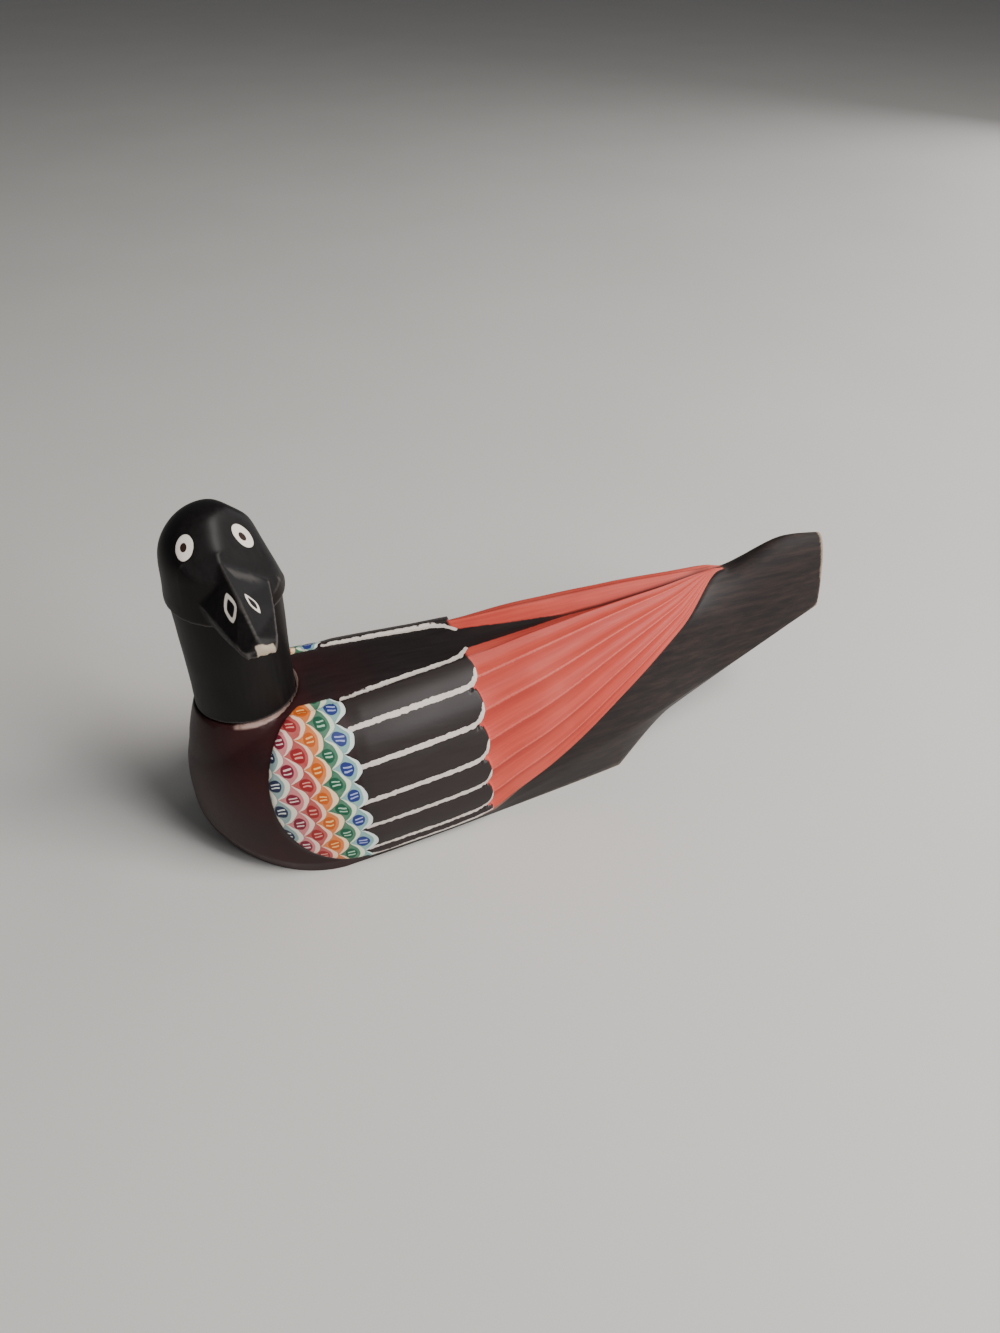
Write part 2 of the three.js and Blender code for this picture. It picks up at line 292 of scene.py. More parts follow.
wingForm = {
    "topEdge": [(22, 19), (80, 12.4), (130, 7), (160, 4.2), (194, 0.5), (239, 4)],
    "lowerEdge": [
        (22, 84), (80, 78.8), (94, 71.8), (109, 64), (140, 42), (168, 21.4), (194, 1.5), (239, 20),
    ],
    "patchCentre": (31.0, 47.0),
    "patchReach": (31.0, 36.0),
    "patchEdge": (0.97, 1.03),
    "bars": [0, 0.18, 0.395, 0.61, 0.78, 0.945, 1],
    "flutes": [0, 0.125, 0.32, 0.505, 0.7, 0.87, 1],
    "laneSteps": [12, 14, 14, 12, 12, 6],
    "laneShift": (77.0, 84.0),
    "barEnd": 82.0,
    "barEndCorner": 4.5,
    "barEndTop": 1.8,
    "barEndSoft": 0.4,
    "fanTip": 194.0,
    "tipFade": 6.0,
    "relief": 1.0,
    "barCrown": 0.5,
    "barCrownStart": (31.0, 37.0),
    "fanDrop": 0.9,
    "fanDropRun": 25.0,
    "fluteDepth": 1.9,
    "fluteFullWidth": 11.0,
    "edgeStep": 0.7,
    "sideRecess": 1.1,
    "sideRecessRun": 20.0,
    "valleyDepth": 4.5,
    "valleySlope": 0.75,
    "valleyRun": (35.0, 110.0),
    "valleyRound": 1.6,
    "lineStart": 31.5,
    "lineWidths": [2.35, 2.15, 2.15, 2.05, 1.85, 1.45, 1.45],
    "lineStraight": (50, 74),
    "lineReach": (25, 90),
    "topHook": [(78.2, 1.0, 1.0), (81.6, 4.2, 0.7)],  # station, rise and thinning
    "hookStart": 77.4,
    "hookLow": 0.84,
    "hookTop": 0.44,
    "hookSteps": 5,
}

neckSeat = {
    "height": 61.0,
    "radius": 18.1,
    "collar": [(18.5, 61), (20.3, 55.5), (22.2, 48.5), (23.4, 42)],
    "soften": 2.5,
    "reachDown": 4.0,
    "rim": (0.3, 0.5),
    "sink": 0.3,
}

topLine = curveThrough(bodyForm["topLine"])
halfWidth = curveThrough(bodyForm["halfWidth"])
creaseHeight = curveThrough(bodyForm["crease"])
baseHalfWidth = curveThrough(bodyForm["baseHalfWidth"])
roundness = curveThrough(bodyForm["roundness"])
wingTop = curveThrough(wingForm["topEdge"])
wingLow = curveThrough(wingForm["lowerEdge"])
collarHeight = curveThrough(neckSeat["collar"])


def underside(x):  # flat, then coved and rising under the tail
    if x <= bodyForm["heel"]:
        return 0.0
    run = x - bodyForm["heel"]
    line = bodyForm["coveRise"] + (run - bodyForm["coveLength"]) * bodyForm["tailSlope"]
    return line * sin(min(1.0, run / bodyForm["coveLength"]) * pi / 2) ** bodyForm["covePower"]


def halfSection(x, count=160):  # plain outline from the top of the back to the edge of the base
    station = max(x, bodyForm["shoulder"])
    wide, crease, top = halfWidth(station), creaseHeight(station), topLine(station)
    base, bottom = baseHalfWidth(station), underside(station)
    power = 2 / roundness(station)
    if x < bodyForm["shoulder"]:
        powers, middle = bodyForm["breastPowers"], bodyForm["breastHeight"]
        k = (bodyForm["shoulder"] - x) / (bodyForm["shoulder"] - bodyForm["breastFront"])
        k = min(1.0, k)
        wide *= (1 - k * k) ** powers["side"]
        base *= (1 - k * k) ** powers["base"]
        top = middle + (top - middle) * (1 - k ** powers["top"]) ** (1 / powers["top"])
        crease = middle + (crease - middle) * sqrt(1 - k * k)
        bottom = middle * (1 - (1 - k ** powers["tuck"]) ** (1 / powers["tuck"]))
    points = []
    for i in range(count + 1):
        t = (1 - i / count) * pi / 2
        points.append(Vector((wide * max(0.0, cos(t)) ** power, crease + (top - crease) * sin(t) ** power)))
    points.append(Vector((min(base, wide), bottom)))
    return points


def runningLength(points):
    sums = [0.0]
    for a, b in zip(points, points[1:]):
        sums.append(sums[-1] + (b - a).length)
    return sums


shoulderGirth = runningLength(halfSection(bodyForm["shoulder"]))[-1]


def laneEdges(x):
    t = blend(*wingForm["laneShift"], x)
    return [mix(bar, flute, t) for bar, flute in zip(wingForm["bars"], wingForm["flutes"])]


def laneOf(edges, v):  # which lane, and how far across it
    lane = sum(1 for edge in edges[1:-1] if v >= edge)
    return lane, (v - edges[lane]) / (edges[lane + 1] - edges[lane])


def barRear(t):  # station where a bar ends, across its width from its upper edge
    if t > 0.5:
        return wingForm["barEnd"] - wingForm["barEndCorner"] * min(1.2, (t - 0.5) / 0.5) ** 3
    return wingForm["barEnd"] - wingForm["barEndTop"] * min(1.2, (0.5 - t) / 0.5) ** 2


def pathDistance(path, x, y):  # to a line of (x, y, half width) points, less its half width
    best = 1e9
    for (x0, y0, r0), (x1, y1, r1) in zip(path, path[1:]):
        dx, dy = x1 - x0, y1 - y0
        t = ((x - x0) * dx + (y - y0) * dy) / (dx * dx + dy * dy)
        t = min(1.0, max(0.0, t))
        away = hypot(x - x0 - dx * t, y - y0 - dy * t) - mix(r0, r1, t)
        best = min(best, away)
    return best


def hookedLine(index, height):  # a white line under one bar, curling up its rear end
    half = wingForm["lineWidths"][index] / 2
    path = [(wingForm["lineStart"], half, half * 0.85)]
    path += [(x, half, half) for x in wingForm["lineStraight"]]
    if index == 0:
        return path + [(x, half + rise, half * thin) for x, rise, thin in wingForm["topHook"]]
    corner = max(half * 1.15, 0.1 * height)
    path.append((wingForm["hookStart"], corner, half))
    low, last, steps = wingForm["hookLow"], wingForm["hookTop"], wingForm["hookSteps"]
    for step in range(steps + 1):
        t = mix(low, last, step / steps)
        thin = mix(1.0, 0.35, (step / steps) ** 2)
        path.append((barRear(t) - half * thin, max(corner * 1.3, height * (1 - t)), half * thin))
    return path


def lineDistance(x, g, top, low):  # to the nearest white line's edge, negative inside it
    bars = wingForm["bars"]
    lane, t = laneOf(bars, (g - top) / (low - top))
    heights = [0.0]  # no bar lies above the first line
    heights += [(b - a) * (low - top) for a, b in zip(bars, bars[1:])]
    across = t * heights[lane + 1]
    own = pathDistance(hookedLine(lane + 1, heights[lane + 1]), x, heights[lane + 1] - across)
    above = pathDistance(hookedLine(lane, heights[lane]), x, -across)
    return min(own, above)


def carving(x, g, top, low, crease):  # how far the carved surface stands out of the plain block
    behindTip = 1 - blend(wingForm["fanTip"] - wingForm["tipFade"], wingForm["fanTip"], x)
    (px, pg), (rx, rg) = wingForm["patchCentre"], wingForm["patchReach"]
    front = hypot((x - px) / rx, (g - pg) / rg) if x < px else 0.0
    wing = (1 - blend(*wingForm["patchEdge"], front)) * behindTip
    recess = blend(wingForm["barEnd"], wingForm["barEnd"] + wingForm["sideRecessRun"], x)
    recess *= 1 - blend(wingForm["fanTip"], bodyForm["tailEnd"], x)
    fade = min(1.0, max(0.0, (crease - g) / max(crease - low, 0.01)))
    side = -wingForm["sideRecess"] * fade * recess
    if x > wingForm["fanTip"]:
        return side
    if g < top:
        depth = min(wingForm["valleyDepth"], wingForm["valleySlope"] * top)
        run = blend(*wingForm["valleyRun"], x) * behindTip
        lip = blend(top - wingForm["edgeStep"], top, g) * (1 - 0.8 * run)
        return wing * wingForm["relief"] * lip - depth * run * (1 - (g / top) ** wingForm["valleyRound"])
    if g > low:
        return mix(wing * wingForm["relief"], side, blend(low, low + wingForm["edgeStep"], g))
    v = (g - top) / max(low - top, 0.01)
    _, t = laneOf(wingForm["bars"], v)
    crown = wingForm["barCrown"] * sin(pi * t) * blend(*wingForm["barCrownStart"], x)
    barHeight = wingForm["relief"] + crown
    flute, t2 = laneOf(wingForm["flutes"], v)
    width = (wingForm["flutes"][flute + 1] - wingForm["flutes"][flute]) * (low - top)
    depth = wingForm["fluteDepth"] * min(1.0, width / wingForm["fluteFullWidth"])
    rise = blend(wingForm["barEnd"], wingForm["barEnd"] + wingForm["fanDropRun"], x)
    fanHeight = wingForm["relief"] - wingForm["fanDrop"] * (1 - rise) - depth * sin(pi * t2)
    soft = wingForm["barEndSoft"]
    return wing * mix(fanHeight, barHeight, blend(-soft, soft, barRear(t) - x))


def bodyStationList():
    front, shoulder = bodyForm["breastFront"], bodyForm["shoulder"]
    end = bodyForm["tailEnd"] - bodyForm["tailRound"]
    places = [shoulder, *bodyForm["barEndZone"], wingForm["fanTip"], end]
    breast, *counts = bodyForm["stationCounts"]
    stations = [shoulder - (shoulder - front) * cos(radians(a)) for a in spread(0, 90, breast)]
    for a, b, count in zip(places, places[1:], counts):
        stations += spread(a, b, count)
    stations += [end + bodyForm["tailRound"] * sin(radians(a)) for a in bodyForm["tailRoundAngles"]]
    return stations


def halfRing(x):  # (y, z, girth, wing, line, bar end, flute) from the top of the back to mid base
    points = halfSection(min(x, bodyForm["tailEnd"] - 0.01))
    sums = runningLength(points)
    girth = sums[-1]
    station = max(x, bodyForm["shoulder"])
    scale = max(girth / shoulderGirth, 0.001) if x < bodyForm["shoulder"] else 1.0
    top, low = wingTop(station) * scale, wingLow(station) * scale
    step = low + wingForm["edgeStep"] * scale
    crease = max(sums[-2], (step + girth) / 2)
    lip = min(wingForm["edgeStep"], top * 0.3)
    counts = bodyForm["ringCounts"]
    places = spread(0, top - lip, counts["back"]) + spread(top - lip, top, counts["lip"])
    lanes = [top + (low - top) * v for v in laneEdges(x)]
    for a, b, count in zip(lanes, lanes[1:], wingForm["laneSteps"]):
        places += spread(a, b, count)
    places += spread(low, step, counts["step"]) + spread(step, crease, counts["side"])
    places += spread(crease, girth, counts["foot"]) + [girth]
    ring = []
    i = 1
    for g in places:
        while i < len(sums) - 1 and sums[i] < g:
            i += 1
        span = max(sums[i] - sums[i - 1], 1e-9)
        spot = points[i - 1].lerp(points[i], min(1.0, (g - sums[i - 1]) / span))
        ahead = (points[i] - points[i - 1]).normalized()
        out = carving(x, g, top, low, crease) if girth > 1 else 0.0
        bumpy = noise.noise(Vector((x, spot.x + 200, spot.y)) / bodyForm["wobbleReach"])
        out += bodyForm["wobble"] * bumpy * blend(0.5, 4.0, spot.y) * blend(0.0, 6.0, spot.x)
        spot = spot + Vector((-ahead.y, ahead.x)) * out
        v = (g - top) / max(low - top, 0.01)
        _, t = laneOf(wingForm["bars"], v)
        start, end = wingForm["lineReach"]
        near = start < x < end and -0.25 < v < 1.2
        line = lineDistance(x, g, top, low) if near else 9.0
        flute = sum(laneOf(wingForm["flutes"], v))
        ring.append((spot.x, spot.y, g / scale, v, line, barRear(min(1, max(0, t))) - x, flute))
    ring[0] = (0.0, *ring[0][1:])
    edgeY, edgeZ = ring[-1][:2]
    for k in range(1, counts["base"] + 1):
        inward = 1 - k / counts["base"]
        ring.append((edgeY * inward, edgeZ, girth / scale + k, *bodyForm["baseFacts"]))
    return ring


def seatNeck(x, y, z):  # the body's top rises to a collar round the neck and is flat under it
    r = hypot(x, y)
    outer, lowest = neckSeat["collar"][-1]
    if r > outer or z < lowest - neckSeat["reachDown"]:
        return z
    collar = collarHeight(max(r, neckSeat["collar"][0][0]))
    gap = max(0.0, 1 - abs(z - collar) / neckSeat["soften"])
    joined = max(z, collar) + neckSeat["soften"] * gap * gap / 4
    joined = min(joined, max(z, neckSeat["height"]))
    inward, outward = neckSeat["rim"]
    outside = blend(neckSeat["radius"] - inward, neckSeat["radius"] + outward, r)
    return mix(neckSeat["height"] - neckSeat["sink"], joined, outside)


def makeBody(material):
    stations = bodyStationList()
    rings = [halfRing(x) for x in stations]
    half = len(rings[0]) - 1
    rows, around = len(stations) - 1, 2 * half
    bm = bmesh.new()
    layers = [bm.verts.layers.float.new(name) for name in ("girth", "wing", "line", "barEnd", "flute")]
    bmesh.ops.create_grid(bm, x_segments=rows, y_segments=around, size=1.0)
    tailEnd, tailRound = bodyForm["tailEnd"], bodyForm["tailRound"]
    for vert in bm.verts:
        i = round((vert.co.x + 1) / 2 * rows)
        j = round((vert.co.y + 1) / 2 * around)
        y, z, *facts = rings[i][j if j <= half else around - j]
        x = stations[i]
        z = seatNeck(x, y, z)
        if x > tailEnd - tailRound:  # rubbed round at the end of the tail
            turn = (x - tailEnd + tailRound) / tailRound
            inset = tailRound * (1 - sqrt(max(0.0, 1 - turn * turn)))
            middle = (rings[i][0][1] + rings[i][half][1]) / 2
            away = max(hypot(y, z - middle), 0.01)
            y *= 1 - inset / away
            z = middle + (z - middle) * (1 - inset / away)
        vert.co = Vector((x - bodyForm["baseCentre"], -y if j <= half else y, z)) * mm
        for layer, fact in zip(layers, facts):
            vert[layer] = fact
    bmesh.ops.remove_doubles(bm, verts=bm.verts, dist=1e-7)
    rim = [edge for edge in bm.edges if edge.is_boundary]
    bmesh.ops.holes_fill(bm, edges=rim, sides=0)
    bmesh.ops.recalc_face_normals(bm, faces=bm.faces)
    markWornEdges(bm, 1)
    return finishPiece(bm, "carved_body", "body", material)


# head and neck: millimetres, own frame with +Y forward on the neck's axis

headForm = {
    "turn": radians(-172),
    "foot": 61.3,
    "neckRadius": 17.8,
    "neckStraight": 16.0,
    "jawHeight": 107.0,
    "jawRadius": 18.6,
    "neckTop": 110.0,
    "cheekRadius": 19.8,
    "cheekDepth": 9.0,
    "cheekForward": 0.9,
    "jawTilt": 0.12,
    "domeHeight": 119.0,
    "domeInset": 0.6,
    "domePower": 0.95,
    "domeSteps": 30,
    "crown": 138.0,
    "ridgeFoot": (2.6, 15.5, 126),
    "leftFacet": (0.22, 0.74, 0.64),
    "rightFacet": (-0.5, 0.7, 0.5),
    "sideFlats": [((-0.95, 0.03, 0.31), 15.1), ((-0.64, -0.27, 0.72), 16.3)],
    "bill": [  # forward, half width, ridge's place across, ridge, edge and underside heights
        (4, 13, 2.6, 128, 115, 106),
        (15.5, 11.8, 2.6, 126, 113.8, 107.6),
        (27, 9.4, 1.2, 118.4, 111, 106.4),
        (38, 6.4, 0, 110.8, 108, 105.6),
        (41, 5, -0.4, 108.2, 107, 105.4),
    ],
    "billTaper": 0.9,
    "grain": 0.42,
    "softening": 5,
    "domeSoftening": 160,
    "domeFrom": 110.0,
    "browForward": 12.0,
    "wobble": 0.12,
    "wobbleReach": 11.0,
}


def turnedShape(profile, steps=120):
    bm = bmesh.new()
    verts = [bm.verts.new((r, 0, z)) for r, z in profile]
    edges = [bm.edges.new(pair) for pair in zip(verts, verts[1:])]
    turn = {"cent": (0, 0, 0), "axis": (0, 0, 1), "angle": 2 * pi, "steps": steps, "use_merge": True}
    bmesh.ops.spin(bm, geom=verts + edges, **turn)
    bmesh.ops.remove_doubles(bm, verts=bm.verts, dist=1e-4)
    bmesh.ops.recalc_face_normals(bm, faces=bm.faces)
    return bm


def plane(bm, point, normal):  # cuts off what lies in front of the plane and closes the cut
    geometry = bm.verts[:] + bm.edges[:] + bm.faces[:]
    bmesh.ops.bisect_plane(bm, geom=geometry, dist=1e-5, plane_co=point, plane_no=normal, clear_outer=True)
    rim = [edge for edge in bm.edges if edge.is_boundary]
    if rim:
        bmesh.ops.holes_fill(bm, edges=rim, sides=0)
    bmesh.ops.recalc_face_normals(bm, faces=bm.faces)


def soften(bm, verts, passes):
    axes = {"use_axis_x": True, "use_axis_y": True, "use_axis_z": True}
    for _ in range(passes):
        bmesh.ops.smooth_vert(bm, verts=verts, factor=0.5, **axes)


def makeSkull():
    f = headForm
    low = f["jawHeight"] - f["cheekDepth"]
    profile = [(0, low), (f["cheekRadius"], low), (f["cheekRadius"], f["jawHeight"])]
    steps = f["domeSteps"]
    for i in range(steps + 1):
        t = i / steps * pi / 2
        radius = (f["cheekRadius"] - f["domeInset"]) * max(0.0, cos(t)) ** f["domePower"]
        height = mix(f["domeHeight"], f["crown"], sin(t))
        profile.append((0.0 if i == steps else radius, height))
    bm = turnedShape(profile)
    bmesh.ops.translate(bm, verts=bm.verts, vec=(0, f["cheekForward"], 0))
    plane(bm, Vector((0, 0, f["jawHeight"])), Vector((0, -f["jawTilt"], -1)).normalized())
    return bm


def makeNeck():
    f = headForm
    straight = f["foot"] + f["neckStraight"]
    profile = [(0, f["foot"]), (f["neckRadius"], f["foot"]), (f["neckRadius"], straight)]
    return turnedShape(profile + [(f["jawRadius"], f["neckTop"]), (0, f["neckTop"])])


def makeBill():
    bm = bmesh.new()
    loops = []
    for forward, wide, across, ridge, edge, under in headForm["bill"]:
        low = wide * headForm["billTaper"]
        outline = [(across, ridge), (wide, edge), (low, under), (-low, under), (-wide, edge)]
        verts = [bm.verts.new((x, forward, z)) for x, z in outline]
        loops.append([bm.edges.new(pair) for pair in zip(verts, verts[1:] + verts[:1])])
    for near, far in zip(loops, loops[1:]):
        bmesh.ops.bridge_loops(bm, edges=near + far)
    for loop in (loops[0], loops[-1]):
        bmesh.ops.contextual_create(bm, geom=loop)
    bmesh.ops.recalc_face_normals(bm, faces=bm.faces)
    return bm


def makeHead(material):
    f = headForm
    ridgeFoot = Vector(f["ridgeFoot"])
    flats = [(ridgeFoot, Vector(f[side]).normalized()) for side in ("leftFacet", "rightFacet")]
    for direction, distance in f["sideFlats"]:
        normal = Vector(direction).normalized()
        flats.append((Vector((0, 0, f["domeHeight"])) + normal * distance, normal))
    rough = bpy.data.meshes.new("rough_head")
    joined = bmesh.new()
    neck, skull, bill = makeNeck(), makeSkull(), makeBill()
    for point, normal in flats:  # the bill stays whole
        plane(neck, point, normal)
        plane(skull, point, normal)
    for shape in (neck, skull, bill):
        shape.to_mesh(rough)
        joined.from_mesh(rough)
        shape.free()
    place = Matrix.Translation((-bodyForm["baseCentre"] * mm, 0, 0)) @ Matrix.Rotation(f["turn"], 4, "Z")
    bmesh.ops.transform(joined, matrix=place @ Matrix.Scale(mm, 4), verts=joined.verts)
    joined.to_mesh(rough)
    joined.free()
    block = bpy.data.objects.new("rough_head", rough)
    bpy.context.scene.collection.objects.link(block)
    remesh = block.modifiers.new("one_skin", "REMESH")
    remesh.mode = "VOXEL"
    remesh.voxel_size = f["grain"] * mm
    skin = bpy.data.meshes.new_from_object(block.evaluated_get(bpy.context.evaluated_depsgraph_get()))
    bpy.data.objects.remove(block)
    bm = bmesh.new()
    bm.from_mesh(skin)
    soften(bm, bm.verts, f["softening"])
    toHead = place.inverted()
    dome = []
    for vert in bm.verts:
        _, forward, height = toHead @ vert.co / mm
        if height > f["domeFrom"] and (forward < f["browForward"] or height > f["ridgeFoot"][2] + 2):
            dome.append(vert)
    soften(bm, dome, f["domeSoftening"])
    bm.normal_update()
    for vert in bm.verts:  # the knife leaves it a little uneven
        vert.co += vert.normal * noise.noise(vert.co / (f["wobbleReach"] * mm)) * f["wobble"] * mm
    markWornEdges(bm, 3)
    return finishPiece(bm, "carved_head", "head_and_neck", material)


# paint

bodyPaint = {
    "dark": tone(40, 33, 33),
    "darker": tone(27, 22, 22),
    "maroon": tone(54, 18, 20),
    "bar": tone(54, 47, 46),
    "line": tone(232, 222, 214),
    "lineShade": tone(205, 190, 180),
    "coral": tone(206, 80, 67),
    "coralDeep": tone(170, 56, 47),
    "coralPale": tone(228, 118, 103),
    # dark red painted shade for the bottom of the valley between the fans
    "grooveShade": tone(88, 32, 28),
    "maroonEnd": (30, 26),  # ends at a station, and how softly
    "grainStart": (110, 50),
    "mattStart": (185, 12),
    "barStart": (32, 1),
    "wallStart": (80.5, 0.8),
    "grooveShadeStart": (122, 10),
    "seamRadius": (18.9, 0.2),
    "seamLow": (57, 1),
    "seamFront": (12, 3),
    "paleTip": (176, 16),
    "patchTop": (15.5, 0.3),
    "tailWear": (230, 6),
    "wornTail": (200, 4),
    "wornSide": (30, 4),
    "rearFace": (238.7, 0.15),
    "seatClear": (24, 1),
    "rubbedFrom": (0.11, 0.04),
    "brushDepth": 0.00012,
    "backDark": 7.0,
    "backDarkRun": 48.0,
    "grain": tone(68, 51, 45),
    "bare": tone(170, 150, 132),
    "seam": tone(176, 148, 138),
}

scalePaint = {
    "firstColumn": 2.6,
    "columnPitch": 5.1,
    "rowPitch": 10.9,
    "lean": 0.05,
    "middle": 47.2,
    "middleSlope": 0.2,
    "lastColumn": 5,
    "rimInner": 0.58,
    "rimOuter": 0.92,
    "waver": 2.4,
    "shake": 2.2,
    "dotBack": 0.06,
    "dotSize": (2.2, 2.6),
    "tickLean": 0.12,
    "tickGap": 0.72,
    "tickHalf": (1.35, 0.28),
    "tickShift": 0.15,
    "dust": tone(236, 226, 214),
    "fills": [
        (128, 152, 152), (196, 110, 114), (170, 58, 56),
        (204, 104, 26), (20, 98, 70), (116, 162, 160),
    ],
    "dots": [
        (20, 25, 62), (112, 14, 42), (142, 34, 38),
        (184, 82, 16), (14, 76, 52), (24, 30, 108),
    ],
    "rims": [
        (228, 224, 206), (236, 204, 188), (240, 198, 172),
        (240, 206, 166), (214, 222, 196), (216, 228, 222),
    ],
    "ticks": [
        (240, 244, 240), (246, 216, 210), (232, 158, 142),
        (250, 196, 124), (176, 212, 186), (168, 178, 226),
    ],
}


def paintScales(paint, x, g, spot):  # colour of the scales, and where they are
    s = scalePaint
    waver = paint.speckle(spot, 115, 1.0)
    shake = paint.speckle(spot, 210, 1.0)
    x = x - s["lean"] * (g - 45) + (waver - 0.5) * s["waver"]
    g = g + (shake - 0.5) * s["shake"]
    across = (x - s["firstColumn"]) / s["columnPitch"]
    column = across.floor()
    u = across - column
    row = (g - (s["middle"] - s["middleSlope"] * (28 - x))) / s["rowPitch"]
    odd = (column / 2).fract() * 2
    near = ((row + 0.5 - odd * 0.5).fract() - 0.5) * 2  # across a scale of this column
    far = ((row + odd * 0.5).fract() - 0.5) * 2  # and of the next one
    inside = (u - (1 - near ** 2).most(0.0) ** 0.85 * s["rimOuter"]).below(0, 0.02)
    u = u - (1 - inside)
    w = paint.value(inside, far, near)
    column = column + (1 - inside)
    rimInner = (1 - (w / 0.97) ** 2).most(0.0) * s["rimInner"]
    rim = (u - rimInner).above(0, 0.03)
    du = (u + s["dotBack"]) * s["columnPitch"]
    dw = w * (s["rowPitch"] / 2)
    dotX, dotG = s["dotSize"]
    dot = ((du / dotX) ** 2 + (dw / dotG) ** 2).below(1, 0.12)
    tickX, tickG = s["tickHalf"]
    tickRow = (abs(abs(dw + du * s["tickLean"]) - s["tickGap"]) - tickG).below(0, 0.07)
    tick = tickRow * (abs(du - s["tickShift"]) - tickX).below(0, 0.08)
    colour = paint.steps(column, [tone(*c) for c in s["fills"]])
    shade = paint.speckle(spot, 420, 2.0)
    colour = paint.colour(shade * 0.14, colour, s["dust"])
    colour = paint.colour(dot * 0.95, colour, paint.steps(column, [tone(*c) for c in s["dots"]]))
    colour = paint.colour(tick * 0.8, colour, paint.steps(column, [tone(*c) for c in s["ticks"]]))
    colour = paint.colour(rim, colour, paint.steps(column, [tone(*c) for c in s["rims"]]))
    return colour, column.below(s["lastColumn"] + 0.5, 0.1), rim


def makeBodyPaint():
    paint = Paint("painted_body_wood")
    c = bodyPaint
    spot = paint.place()
    x = paint.part(spot, 0) * 1000 + bodyForm["baseCentre"]
    y = paint.part(spot, 1) * 1000
    z = paint.part(spot, 2) * 1000
    g = paint.attribute("girth")
    wing = paint.attribute("wing")
    line = paint.attribute("line")
    barEnd = paint.attribute("barEnd")
    wear = paint.attribute("wear")
    grain = paint.speckle(paint.stretched(spot, (0.12, 1.0, 1.0)), 700, 4.0, 0.6)  # brush streaks
    cloud = paint.speckle(spot, 34, 3.0)
    fine = paint.speckle(spot, 1500, 3.0)
    ragged = paint.speckle(spot, 480, 3.0) - 0.5

    maroon = x.below(*c["maroonEnd"]) * cloud.above(0.42, 0.16)
    dark = paint.colour(grain.above(0.5, 0.3) * 0.6, c["darker"], c["dark"])
    dark = paint.colour(maroon * 0.8, dark, c["maroon"])
    woodGrain = paint.speckle(paint.stretched(spot, (0.08, 1.0, 1.0)), 460, 4.0, 0.65)
    dark = paint.colour(woodGrain.above(0.54, 0.14) * x.above(*c["grainStart"]) * 0.4, dark, c["grain"])

    inWing = wing.above(0.0, 0.006) * wing.below(1.0, 0.006)
    pastBars = (barEnd + ragged * 0.7).below(0, 0.12)
    darkBack = (c["backDark"] * (1 - (x - wingForm["barEnd"]) / c["backDarkRun"])).most(0.4)
    innerWall = (g + ragged - darkBack).above(0, 0.4) * x.above(*c["wallStart"]) * wing.below(0.5, 0.1)
    overFan = (inWing * pastBars).most(innerWall * wing.below(0.0, 0.006))
    fan = overFan * x.below(wingForm["fanTip"] - 0.5, 0.6)
    bars = inWing * (1 - pastBars) * x.above(*c["barStart"])
    barTone = paint.colour(grain * 0.7, c["dark"], c["bar"])
    colour = paint.colour(bars, dark, barTone)

    streakPlace = paint.joined(x * 0.012, wing * 14, 0.0)
    streak = paint.speckle(streakPlace, 3.0, 4.0, 0.6)
    coral = paint.colour(0.35 + streak.above(0.5, 0.3) * 0.65, c["coralDeep"], c["coral"])
    coral = paint.colour(cloud.above(0.6, 0.2) * 0.25, coral, c["coralPale"])
    coral = paint.colour(x.above(*c["paleTip"]) * 0.45, coral, c["coralPale"])
    flute = paint.attribute("flute").fract()
    # painted shade: deep coral along the upper side of each flute, just under its crest
    coral = paint.colour(flute.below(0.4, 0.35) * 0.5, coral, c["coralDeep"])
    # pale coral along each flute's crest: a painted highlight, with some rubbed paint
    crestRubAndHighlight = (abs(flute - 0.5) + (fine - 0.5) * 0.12).above(0.462, 0.02) * wing.above(0.02, 0.01)
    coral = paint.colour(crestRubAndHighlight * 0.45, coral, c["coralPale"])
    colour = paint.colour(fan, colour, coral)
    # painted shade: dark red down the bottom of the valley where the two fans meet
    grooveShade = g.below(1.1, 0.9) * x.above(*c["grooveShadeStart"]) * x.below(wingForm["fanTip"] - 6, 6)
    colour = paint.colour(grooveShade, colour, c["grooveShade"])

    scales, scaleColumns, rim = paintScales(paint, x, g, spot)
    (px, pg), (rx, rg) = wingForm["patchCentre"], wingForm["patchReach"]
    ahead = ((x - px) / rx).least(0.0)
    oval = (ahead ** 2 + ((g - pg) / rg) ** 2 + ragged * 0.03).below(1.0, 0.015)
    patch = oval * scaleColumns * g.above(*c["patchTop"])
    colour = paint.colour(patch, colour, scales)

    stroke = (line + ragged * 1.3).below(0.0, 0.12) * (1 - patch)
    lineTone = paint.colour(grain, c["lineShade"], c["line"])
    colour = paint.colour(stroke, colour, lineTone)

    neckAway = (x ** 2 + y ** 2) ** 0.5
    rubbed = wear + (fine - 0.5) * 0.1 + (cloud - 0.5) * 0.1 + x.above(*c["tailWear"]) * 0.04
    rubbed = rubbed.above(*c["rubbedFrom"])
    rubbed = rubbed * x.above(*c["wornTail"]).most(g.above(*c["wornSide"]))
    rubbed = rubbed * x.below(*c["rearFace"]) * neckAway.above(*c["seatClear"])
    rubbed = rubbed * (1 - fan) * (1 - inWing * x.below(wingForm["fanTip"], 1))
    colour = paint.colour(rubbed * 0.75, colour, c["bare"])
    seam = neckAway.below(*c["seamRadius"]) * z.above(*c["seamLow"])
    seam = seam * (x - y + ragged * 6).above(*c["seamFront"])
    colour = paint.colour(seam * 0.8, colour, c["seam"])
    paint.set("Base Color", colour)
    paint.set("Specular IOR Level", 0.27)
    matt = x.above(*c["mattStart"])
    paint.set("Roughness", 0.36 + grain * 0.16 + fan * 0.08 + rubbed * 0.2 + matt * 0.22)
    height = grain * 0.35 + fine * 0.15 + stroke * 0.9 + patch * (0.3 + rim * 0.6) + fan * streak * 0.4
    paint.set("Normal", paint.bump(height, c["brushDepth"], 0.7))
    return paint.material


